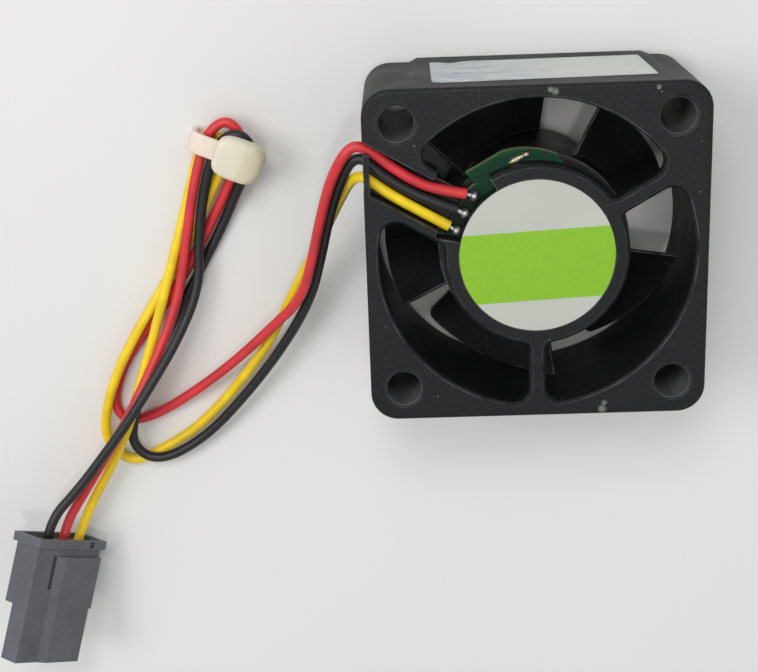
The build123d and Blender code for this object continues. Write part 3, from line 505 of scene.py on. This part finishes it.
def lead_curve(name, route, diameter, material):
    """Round lead on a smooth line that takes the route's points as its control points."""
    curve = bpy.data.curves.new(name, "CURVE")
    curve.dimensions = "3D"
    curve.resolution_u = 10
    curve.bevel_depth = diameter / 2
    curve.bevel_resolution = 5
    curve.use_fill_caps = True
    spline = curve.splines.new("NURBS")
    spline.points.add(len(route) - 1)
    points = np.column_stack((np.array(route) * MM, np.ones(len(route))))
    spline.points.foreach_set("co", points.ravel())
    spline.order_u = 3
    spline.use_endpoint_u = True
    curve.materials.append(material)
    lead = bpy.data.objects.new(name, curve)
    bpy.context.scene.collection.objects.link(lead)
    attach(lead, "housing")
    return lead


class FAN_OT_leads(bpy.types.Operator):
    """Make the three leads from the board to the plug"""

    bl_idname = "fan.leads"
    bl_label = "Leads"

    def execute(self, context):
        """One curve for each lead, and the CAD lead it stands for is hidden."""
        settings = context.scene.fan_leads
        plans = (
            ("red", RED_ROUTE, settings.red, 0.40, 0.1843),
            ("black", BLACK_ROUTE, settings.black, 0.44, 0.1878),
            ("yellow", YELLOW_ROUTE, settings.yellow, 0.40, 0.1834),
        )
        carried = [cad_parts[node] for node in ("plug_housing", "crimp_terminals")]
        carried.append(bpy.data.objects["nylon_tie"])
        for name, route, tint, sheen, real_length in plans:
            slot = name + "_insulation"
            material = insulation(slot, tint, sheen)
            lead = lead_curve(name + "_wire", route, settings.diameter, material)
            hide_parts(name + "_lead")
        return {"FINISHED"}


class FAN_OT_frame(bpy.types.Operator):
    """Finish the moulded frame"""

    bl_idname = "fan.frame"
    bl_label = "Frame"

    def execute(self, context):
        """Grained black plastic with smooth screw holes whose walls are painted paler as painted light, and a few pale
        scuffs near the edges of the label face.
        """
        settings = context.scene.fan_housing
        scuffs = (
            ((1.5 * MM, 19.4 * MM, 20 * MM), 0.4 * MM),
            ((2.05 * MM, 19.2 * MM, 20 * MM), 0.5 * MM),
            ((13.7 * MM, 19.3 * MM, 20 * MM), 0.35 * MM),
            ((7.7 * MM, -19.3 * MM, 20 * MM), 0.6 * MM),
            ((7.95 * MM, -18.5 * MM, 20 * MM), 0.4 * MM),
        )
        dress(moulded_black("frame_plastic", settings.frame_black, settings.soft_edge, 0.52,
                            0.016 * MM, 0.05, scuffs, (HOLE_OFFSET * MM, HOLE_RADIUS * MM)), "frame")
        return {"FINISHED"}


def sticker_sheet(settings):
    """Paper sheet on the slanted wall: a flat grid of two parameters along its length and width, tilted in its
    plane, with one round corner (a quarter circle) and a worn edge (a bell-shaped dip), and raised by a few smooth
    creases, each the cosine hump of the distance to a slanting line."""
    corner_radius = 1.0 * MM
    thickness = 0.1 * MM
    u, v = np.meshgrid(np.linspace(-0.5, 0.5, 161), np.linspace(-0.5, 0.5, 61), indexing="ij")
    creases = ((-0.40, 1.1, 0.045, 1.0), (-0.33, -0.7, 0.035, 0.7), (-0.45, 0.2, 0.03, 0.8), (-0.24, 0.5, 0.05, 0.35),
               (0.44, -0.4, 0.05, 0.3))
    rise = np.zeros_like(u)
    for at, lean, half, share in creases:
        gap = np.abs(u - at - lean * 0.1 * v) / half
        hump = np.where(gap < 1, 0.5 + 0.5 * np.cos(np.pi * gap), 0)
        rise += share * hump * (0.55 + 0.45 * np.sin(7 * v + 9 * at))
    rim = np.minimum(1, 12 * (0.5 - np.maximum(np.abs(u), np.abs(v))))
    lift = settings.crinkle * np.clip(rise, 0, 1.2) * (0.35 + 0.65 * rim)
    tilt = radians(STICKER_TILT)
    corner = corner_radius / settings.sticker_width
    into = np.clip((v - 0.5 + corner) / corner, 0, 1)
    along = settings.sticker_length * u + corner_radius * (1 - np.sqrt(1 - into ** 2)) * (0.5 - u)
    trim = 0.8 * MM * np.exp(-((u + 0.4) / 0.05) ** 2) + 0.5 * MM * np.clip((u + 0.3) / 0.8, 0, 1)
    across = settings.sticker_width * v + trim * (0.5 - v)
    x = STICKER_X * MM + along * np.cos(tilt) + across * np.sin(tilt) * (0.5 + u)
    height = across * np.cos(tilt) - along * np.sin(tilt)
    slant = np.arctan2(PAD_PROUD, PAD_HEIGHT)
    z = STICKER_Z * MM + height * np.cos(slant) + lift * np.sin(slant)
    wall = (HALF_SIDE + PAD_PROUD * (1 - STICKER_Z / PAD_HEIGHT)) * MM
    y = wall + thickness - height * np.sin(slant) + lift * np.cos(slant)
    front = np.stack((x, y, z), axis=-1)
    back = front - np.array((0, 1, 0)) * (lift[..., None] + thickness)
    ring = np.concatenate((front, back[:, ::-1]), axis=1)
    ends = np.concatenate((np.broadcast_to(ring[:1].mean(axis=1, keepdims=True), ring[:1].shape), ring,
                           np.broadcast_to(ring[-1:].mean(axis=1, keepdims=True), ring[:1].shape)))
    return ends, grid_quads(ends.shape[0], ends.shape[1], around=True)


class FAN_OT_labels(bpy.types.Operator):
    """Finish the round label and make the wall sticker"""

    bl_idname = "fan.labels"
    bl_label = "Labels"

    def execute(self, context):
        """White label with one printed band, and a thin creased sheet for the sticker."""
        settings = context.scene.fan_labels
        finish = Finish("label_paper", Specular_IOR_Level=0.5, Coat_Weight=0.15, Coat_Roughness=0.3)
        axes = finish.axes()
        level = finish.math("MULTIPLY_ADD", axes[0], -settings.band_slope, axes[1])
        ragged = finish.math("MULTIPLY_ADD", finish.noise(2400, 2), 0.05 * MM, level)
        soft = 0.05 * MM
        under_top = finish.span(ragged, settings.band_top + soft, settings.band_top)
        over_bottom = finish.span(ragged, settings.band_bottom, settings.band_bottom + soft)
        band = finish.math("MULTIPLY", under_top, over_bottom)
        fibre = finish.noise(1500, 4, 0.65)
        cloud = finish.noise(130, 3)
        paper = finish.mix(finish.span(cloud, 0.3, 0.7), [0.94 * c for c in settings.paper], settings.paper)
        ink = finish.mix(finish.span(fibre, 0.3, 0.75), [0.9 * c for c in settings.band], settings.band)
        tone = finish.mix(band, paper, ink)
        tone = finish.mix(finish.math("MULTIPLY", finish.specks(700, 0.1, 0.12), 0.5), tone, srgb(120, 116, 108))
        finish.set(Base_Color=tone, Roughness=finish.span(fibre, 0.3, 0.7, 0.36, 0.5),
                   Normal=finish.bump(finish.noise(260, 2), 0.03 * MM, finish.round_edges(0.06 * MM)))
        dress(finish.material, "hub_label")

        finish = Finish("sticker_paper", Specular_IOR_Level=0.5, Metallic=0.15)
        fibre = finish.noise(1800, 4, 0.65)
        cloud = finish.noise(190, 4)
        tone = finish.mix(finish.span(cloud, 0.32, 0.7), [0.86 * c for c in settings.sticker], settings.sticker)
        axes = finish.axes()
        foil = finish.span(axes[0], 4 * MM, -5 * MM)
        streaks = finish.noise(1, 3, 0.6, finish.place(stretch=(240, 900, 1100), turn=(0, radians(24), 0)))
        tone = finish.mix(finish.math("MULTIPLY", foil, finish.span(streaks, 0.34, 0.6)), tone, srgb(168, 178, 188))
        smear_and_painted_light = finish.span(finish.noise(1, 3, 0.6, finish.place(stretch=(180, 600, 900))), 0.58, 0.8, 0, 0.3)
        tone = finish.mix(smear_and_painted_light, tone, srgb(120, 122, 126))
        finish.set(Base_Color=tone, Roughness=finish.span(cloud, 0.3, 0.7, 0.3, 0.48),
                   Normal=finish.bump(fibre, 0.004 * MM))
        sheet = make_piece("wall_sticker", [sticker_sheet(settings)], finish.material)
        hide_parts("side_sticker")
        return {"FINISHED"}


class FAN_OT_rotor(bpy.types.Operator):
    """Finish the impeller, its magnet and its shaft"""

    bl_idname = "fan.rotor"
    bl_label = "Rotor"

    def execute(self, context):
        """Smoother black plastic, drawn steel, sintered ferrite, brass and bright steel."""
        settings = context.scene.fan_housing
        dress(moulded_black("impeller_plastic", settings.impeller_black, settings.soft_edge, 0.42,
                            0.008 * MM, 0.08), "impeller")
        dress(turned_metal("yoke_steel", srgb(150, 150, 152), 0.38, 2500.0), "rotor_yoke")
        finish = Finish("magnet_ferrite", Specular_IOR_Level=0.35)
        grit = finish.noise(4200, 3, 0.65)
        finish.set(Base_Color=finish.mix(finish.span(grit, 0.3, 0.75), srgb(48, 46, 46), srgb(78, 76, 75)),
                   Roughness=finish.span(grit, 0.3, 0.7, 0.55, 0.75), Normal=finish.bump(grit, 0.01 * MM))
        dress(finish.material, "magnet_ring")
        dress(turned_metal("bright_steel", srgb(200, 201, 203), 0.2), "shaft", "preload_washer", "retaining_clip",
              "lower_bearing_outer_ring", "lower_bearing_inner_ring", "lower_bearing_balls", "lower_bearing_cage",
              "upper_bearing_outer_ring", "upper_bearing_inner_ring", "upper_bearing_balls", "upper_bearing_cage")
        dress(turned_metal("turned_brass", srgb(206, 172, 104), 0.28), "shaft_bush", "bearing_tube")
        return {"FINISHED"}


class FAN_OT_stator(bpy.types.Operator):
    """Finish the stator stack, its bobbins and windings"""

    bl_idname = "fan.stator"
    bl_label = "Stator"

    def execute(self, context):
        """Stacked sheet lines, nylon and enamelled turns of wire with painted shade in the valleys between the turns.
        """
        finish = Finish("stack_steel", Metallic=0.9)
        axes = finish.axes()
        sheet = finish.math("SINE", finish.math("MULTIPLY", axes[2], 2 * np.pi / (0.5 * MM)))
        groove = finish.span(sheet, -1, -0.6)
        cloud = finish.noise(420, 3)
        tone = finish.mix(finish.span(cloud, 0.3, 0.7), srgb(104, 102, 100), srgb(142, 140, 137))
        finish.set(Base_Color=finish.mix(groove, srgb(46, 42, 40), tone),
                   Roughness=finish.span(cloud, 0.3, 0.7, 0.36, 0.5),
                   Normal=finish.bump(groove, 0.04 * MM))
        dress(finish.material, "stator_laminations")

        finish = Finish("bobbin_nylon", Subsurface_Weight=0.1, Subsurface_Scale=0.8 * MM)
        cloud = finish.noise(600, 3)
        finish.set(Base_Color=finish.mix(finish.span(cloud, 0.3, 0.7), srgb(206, 200, 184), srgb(224, 220, 206)),
                   Roughness=finish.span(cloud, 0.3, 0.7, 0.42, 0.55),
                   Normal=finish.bump(cloud, 0.01 * MM, finish.round_edges(0.1 * MM)))
        dress(finish.material, "upper_insulator", "lower_insulator")

        finish = Finish("winding_copper", Metallic=0.85, Coat_Weight=0.5, Coat_Roughness=0.15)
        axes = finish.axes()
        outward = finish.math("MAXIMUM", finish.math("ABSOLUTE", axes[0]), finish.math("ABSOLUTE", axes[1]))
        wander = finish.math("MULTIPLY_ADD", finish.noise(900, 2), 0.06 * MM, outward)
        turns = finish.math("ABSOLUTE", finish.math("SINE", finish.math("MULTIPLY", wander, np.pi / (0.16 * MM))))
        # Darker in the valleys between turns: painted shade on the round wire.
        tone = finish.mix(finish.span(turns, 0.1, 0.6), srgb(74, 34, 16), srgb(186, 104, 52))
        finish.set(Base_Color=tone, Roughness=finish.span(turns, 0, 1, 0.45, 0.26),
                   Normal=finish.bump(turns, 0.07 * MM, finish.round_edges(0.25 * MM)))
        dress(finish.material, "stator_coils")
        return {"FINISHED"}


def solder_joint(foot, crown, end, radius):
    """Solder joint: circles carried along a line that rises from the board and bends into the lead. The line is a
    quadratic curve through three points; its circles are widest at the foot and swell once at the crown."""
    rings, sides = 30, 24
    t = np.linspace(0, 1, rings)[:, None]
    foot, crown, end = (np.array(point) * MM for point in (foot, crown, end))
    line = (1 - t) ** 2 * foot + 2 * t * (1 - t) * crown + t ** 2 * end
    along = np.gradient(line, axis=0)
    along /= np.linalg.norm(along, axis=1, keepdims=True)
    side = np.cross(along, np.array((end - foot)[[1, 0, 2]] * (1, -1, 0)))
    side /= np.linalg.norm(side, axis=1, keepdims=True)
    other = np.cross(along, side)
    swell = np.exp(-(t / 0.2) ** 2) + 1.25 * np.exp(-((t - 0.4) / 0.27) ** 2)
    swell = np.maximum(swell, 0.62) * np.where(t > 0.97, 0, 1) * np.where(t < 0.001, 0, 1)
    turn = np.linspace(0, 2 * np.pi, sides, endpoint=False)
    ring = np.cos(turn)[None, :, None] * side[:, None] + np.sin(turn)[None, :, None] * other[:, None]
    return line[:, None] + radius * swell[..., None] * ring, grid_quads(rings, sides, around=True)


def solder_dome(centre, half_length, half_width, height, turned):
    """Low lump of solder: a half ellipse turned about an upright axis, stretched along one direction and closed
    by a flat foot."""
    angle = np.concatenate(([-0.01], np.linspace(0, np.pi / 2, 12)))
    sides = 28
    turn = np.linspace(0, 2 * np.pi, sides, endpoint=False)
    out = np.where(angle < 0, 0, np.cos(angle) ** 0.8)[:, None]
    up = np.where(angle < 0, 0, height * np.sin(angle))[:, None]
    along = half_length * out * np.cos(turn)
    across = half_width * out * np.sin(turn)
    lean = radians(turned)
    shape = np.stack((along * np.cos(lean) - across * np.sin(lean), along * np.sin(lean) + across * np.cos(lean),
                      up + 0 * turn), axis=-1)
    return shape + np.array(centre) * MM, grid_quads(angle.size, sides, around=True)


class FAN_OT_board(bpy.types.Operator):
    """Finish the circuit board and make its solder joints"""

    bl_idname = "fan.board"
    bl_label = "Circuit board"

    def execute(self, context):
        """Green lacquer with faint tracks on the faces and bare laminate at the edge, chips, solder and tinned
        pins."""
        settings = context.scene.fan_board
        finish = Finish("board_laminate", Specular_IOR_Level=0.18)
        flat = finish.span(finish.math("ABSOLUTE", finish.facing()[2]), 0.5, 0.7)
        reach = finish.add("VectorMath", {"operation": "LENGTH"}, Vector=finish.place(stretch=(1, 1, 0))).outputs[1]
        rings = finish.math("SINE", finish.math("MULTIPLY", reach, 2 * np.pi / (1.7 * MM)))
        track = finish.math("MULTIPLY", finish.span(rings, 0.45, 0.55), finish.span(finish.noise(300, 1), 0.48, 0.52))
        lacquer = finish.mix(finish.math("MULTIPLY", track, 0.5), settings.mask, [1.8 * c for c in settings.mask])
        # Dark patch around the lead joints: painted shade for the deep shadow beside the joints.
        flux_and_painted_shade = finish.spot((-8.6 * MM, 5.0 * MM, BOARD_TOP * MM), 3.6 * MM)
        lacquer = finish.mix(finish.math("MULTIPLY", flux_and_painted_shade, 0.85), lacquer, srgb(12, 15, 13))
        fibre = finish.noise(1600, 3)
        bare = finish.mix(finish.span(fibre, 0.3, 0.7), [0.8 * c for c in settings.bare_edge], settings.bare_edge)
        finish.set(Base_Color=finish.mix(flat, bare, lacquer), Roughness=finish.span(fibre, 0.3, 0.7, 0.26, 0.42),
                   Normal=finish.bump(track, 0.02 * MM, finish.round_edges(0.05 * MM)))
        dress(finish.material, "circuit_board")

        finish = Finish("chip_resin", Specular_IOR_Level=0.4)
        grit = finish.noise(5200, 3)
        finish.set(Base_Color=finish.mix(finish.span(grit, 0.3, 0.7), srgb(30, 30, 32), srgb(50, 50, 52)),
                   Roughness=finish.span(grit, 0.3, 0.7, 0.5, 0.65),
                   Normal=finish.bump(grit, 0.008 * MM, finish.round_edges(0.08 * MM)))
        dress(finish.material, "hall_sensor", "driver_chip")

        finish = Finish("capacitor_body", Specular_IOR_Level=0.5)
        cap = finish.noise(2600, 3)
        finish.set(Base_Color=finish.mix(finish.span(cap, 0.3, 0.7), srgb(156, 122, 82), srgb(182, 148, 104)),
                   Roughness=finish.span(cap, 0.3, 0.7, 0.4, 0.55),
                   Normal=finish.bump(cap, 0.006 * MM, finish.round_edges(0.08 * MM)))
        dress(finish.material, "chip_capacitors")

        finish = Finish("solder", Metallic=1.0)
        cloud = finish.noise(1500, 3)
        tone = finish.mix(finish.span(cloud, 0.3, 0.7), srgb(150, 151, 152), srgb(204, 204, 202))
        flux_and_painted_shade = finish.span(finish.axes()[1], 9 * MM, 10 * MM, 0, 0.8)
        tone = finish.mix(flux_and_painted_shade, tone, finish.mix(finish.span(cloud, 0.3, 0.7), srgb(120, 112, 78), srgb(214, 206, 168)))
        finish.set(Base_Color=tone, Roughness=finish.span(cloud, 0.3, 0.7, 0.4, 0.58),
                   Normal=finish.bump(cloud, 0.05 * MM))
        crown_height = 18.5
        pin_turn = 25.0
        feet = ((-7.1, 6.9), (-8.2, 4.82), (-9.25, 2.78))
        shells = []
        for foot, route in zip(feet, (RED_ROUTE, BLACK_ROUTE, YELLOW_ROUTE)):
            shells.append(solder_joint((*foot, BOARD_TOP), (*foot, crown_height), route[0], settings.joint_radius))
        shells.append(solder_dome((-2.05, 11.05, BOARD_TOP), 1.2 * MM, 0.4 * MM, 0.45 * MM, pin_turn))
        shells.append(solder_dome((-1.05, 11.6, BOARD_TOP), 0.5 * MM, 0.42 * MM, 0.6 * MM, pin_turn))
        joints = make_piece("solder_beads", shells, finish.material)
        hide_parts("solder_joints")
        dress(turned_metal("tinned_brass", srgb(196, 192, 178), 0.26, 1500.0), "winding_pins", "crimp_terminals")
        return {"FINISHED"}


def tie_place(points):
    """Tie's own frame put where it lies: turned in the plane of the floor and moved to its centre."""
    turn = radians(TIE_TURN)
    x, y, z = points[..., 0], points[..., 1], points[..., 2]
    across = np.stack((x * np.cos(turn) - y * np.sin(turn), x * np.sin(turn) + y * np.cos(turn), z), axis=-1)
    return across + np.array(TIE_CENTRE) * MM


def tie_strap(settings):
    """Strap loop: a flat rounded profile carried round a rounded rectangle. The loop is a superellipse, and the
    profile is a superellipse of the strap's width and thickness."""
    half_width = 4.4 * MM
    half_height = (3.7 + 0.8) / 2 * MM
    shift = 0.4 * MM
    steps, sides = 240, 36
    turn = np.linspace(0, 2 * np.pi, steps, endpoint=False)
    power = 2 / 4.5
    path = np.stack((half_width * np.sign(np.cos(turn)) * np.abs(np.cos(turn)) ** power - shift, 0 * turn,
                     half_height * np.sign(np.sin(turn)) * np.abs(np.sin(turn)) ** power), axis=-1)
    step = np.roll(path, -1, axis=0) - np.roll(path, 1, axis=0)
    step /= np.linalg.norm(step, axis=1, keepdims=True)
    outward = np.stack((step[:, 2], np.zeros_like(turn), -step[:, 0]), axis=-1)
    around = np.linspace(0, 2 * np.pi, sides, endpoint=False)
    cos, sin = np.cos(around), np.sin(around)
    wide = 0.5 * settings.strap_width * np.sign(cos) * np.abs(cos) ** 0.35
    thick = 0.5 * settings.strap_thickness * np.sign(sin) * np.abs(sin) ** 0.55
    points = path[:, None] + thick[None, :, None] * outward[:, None]
    points = points + wide[None, :, None] * np.array((0, 1, 0))
    return tie_place(points), grid_quads(steps, sides, around=True, closed=True)


def tie_head(settings):
    """Head of the tie: rings of a superellipse from its foot to its top. Each ring draws in near the foot and the
    top, and the top slopes down towards the far end of the head."""
    height = np.array([0, 0, 0.1, 0.25, 0.5, 0.72, 0.86, 0.95, 0.99, 1, 1, 1])
    draw = np.array([0, 0.93, 0.97, 1, 1, 0.985, 0.95, 0.89, 0.8, 0.68, 0.34, 0])
    sides = 96
    turn = np.linspace(0, 2 * np.pi, sides, endpoint=False)
    cos, sin = np.cos(turn), np.sin(turn)
    power = 2 / 3.4
    x = 0.5 * settings.head_length * np.sign(cos) * np.abs(cos) ** power
    y = 0.5 * settings.head_width * np.sign(sin) * np.abs(sin) ** power
    ring_x = draw[:, None] * x
    ring_y = draw[:, None] * y
    lift = settings.head_height * height[:, None] * np.ones_like(x)
    slope = np.clip((ring_x - 1.5 * MM) / (2.0 * MM), 0, 1)
    lift = lift * (1 - 0.42 * slope ** 1.2)
    points = np.stack((ring_x + 1.6 * MM, ring_y, lift + 2.2 * MM), axis=-1)
    return tie_place(points), grid_quads(height.size, sides, around=True)


class FAN_OT_tie(bpy.types.Operator):
    """Make the cable tie round the folded leads"""

    bl_idname = "fan.tie"
    bl_label = "Cable tie"

    def execute(self, context):
        """Strap and head in one piece of slightly see-through nylon, with the red lead's show-through painted peach on
        the strap and painted shade on the head's sloping facet.
        """
        settings = context.scene.fan_tie
        finish = Finish("tie_nylon", Subsurface_Weight=0.35, Subsurface_Scale=1.2 * MM,
                        Subsurface_Radius=(1.0, 0.8, 0.5), Specular_IOR_Level=0.45)
        cloud = finish.noise(380, 3)
        fine = finish.noise(3000, 3)
        tone = finish.mix(finish.span(cloud, 0.3, 0.7), [0.9 * c for c in settings.nylon], settings.nylon)
        # Peach on the strap: painted light for the red lead showing through the nylon.
        show_through_mask = finish.span(finish.axes()[0], -38.2 * MM, -39.4 * MM)
        painted_red_show_through = finish.mix(finish.span(cloud, 0.3, 0.7), srgb(232, 214, 200), srgb(238, 226, 212))
        tone = finish.mix(show_through_mask, tone, painted_red_show_through)
        # Sloping facet at the head's far end painted darker and yellower: painted shade.
        along = finish.axes(finish.place(turn=(0, 0, radians(-TIE_TURN))))[0]
        tone = finish.mix(finish.span(along, -36.5 * MM, -36.0 * MM, 0, 0.5), tone, srgb(206, 198, 160))
        finish.set(Base_Color=tone, Roughness=finish.span(fine, 0.3, 0.7, 0.38, 0.52),
                   Normal=finish.bump(fine, 0.008 * MM))
        tie = make_piece("nylon_tie", [tie_strap(settings), tie_head(settings)], finish.material)
        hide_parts("cable_tie")
        return {"FINISHED"}


class FAN_OT_plug(bpy.types.Operator):
    """Finish the plug at the end of the leads"""

    bl_idname = "fan.plug"
    bl_label = "Plug"

    def execute(self, context):
        """Glossier dark grey plastic with edges paler partly from rubbed wear and partly as a painted highlight."""
        settings = context.scene.fan_housing
        dress(moulded_black("plug_plastic", settings.plug_black, 0.12 * MM, 0.4, 0.006 * MM, 0.12), "plug_housing")
        return {"FINISHED"}


class FAN_PT_pieces(bpy.types.Panel):
    """Lists the pieces and their sizes and colours"""

    bl_idname = "FAN_PT_pieces"
    bl_label = "Square cooling fan"
    bl_space_type = "VIEW_3D"
    bl_region_type = "UI"
    bl_category = "Fan"

    def draw(self, context):
        """One button for each operator, then every setting of each group."""
        for operator in operators:
            self.layout.operator(operator.bl_idname)
        for name, group in groups.items():
            box = self.layout.box()
            for prop in group.__annotations__:
                box.prop(getattr(context.scene, name), prop)


groups = {
    "fan_stage": StageSettings,
    "fan_leads": LeadSettings,
    "fan_housing": HousingSettings,
    "fan_labels": LabelSettings,
    "fan_board": BoardSettings,
    "fan_tie": TieSettings,
}
operators = (
    FAN_OT_stage,
    FAN_OT_tie,
    FAN_OT_leads,
    FAN_OT_frame,
    FAN_OT_labels,
    FAN_OT_rotor,
    FAN_OT_stator,
    FAN_OT_board,
    FAN_OT_plug,
)


def register():
    """Register every class and hang the settings on the scene."""
    for group in groups.values():
        bpy.utils.register_class(group)
    for operator in operators:
        bpy.utils.register_class(operator)
    bpy.utils.register_class(FAN_PT_pieces)
    for name, group in groups.items():
        setattr(bpy.types.Scene, name, PointerProperty(type=group))


def unregister():
    """Undo what register does."""
    for name in groups:
        delattr(bpy.types.Scene, name)
    bpy.utils.unregister_class(FAN_PT_pieces)
    for operator in reversed(operators):
        bpy.utils.unregister_class(operator)
    for group in reversed(groups.values()):
        bpy.utils.unregister_class(group)


def main():
    """Build every piece in order."""
    register()
    bpy.ops.fan.stage()
    bpy.ops.fan.tie()
    bpy.ops.fan.leads()
    bpy.ops.fan.frame()
    bpy.ops.fan.labels()
    bpy.ops.fan.rotor()
    bpy.ops.fan.stator()
    bpy.ops.fan.board()
    bpy.ops.fan.plug()


if __name__ == "__main__":
    main()
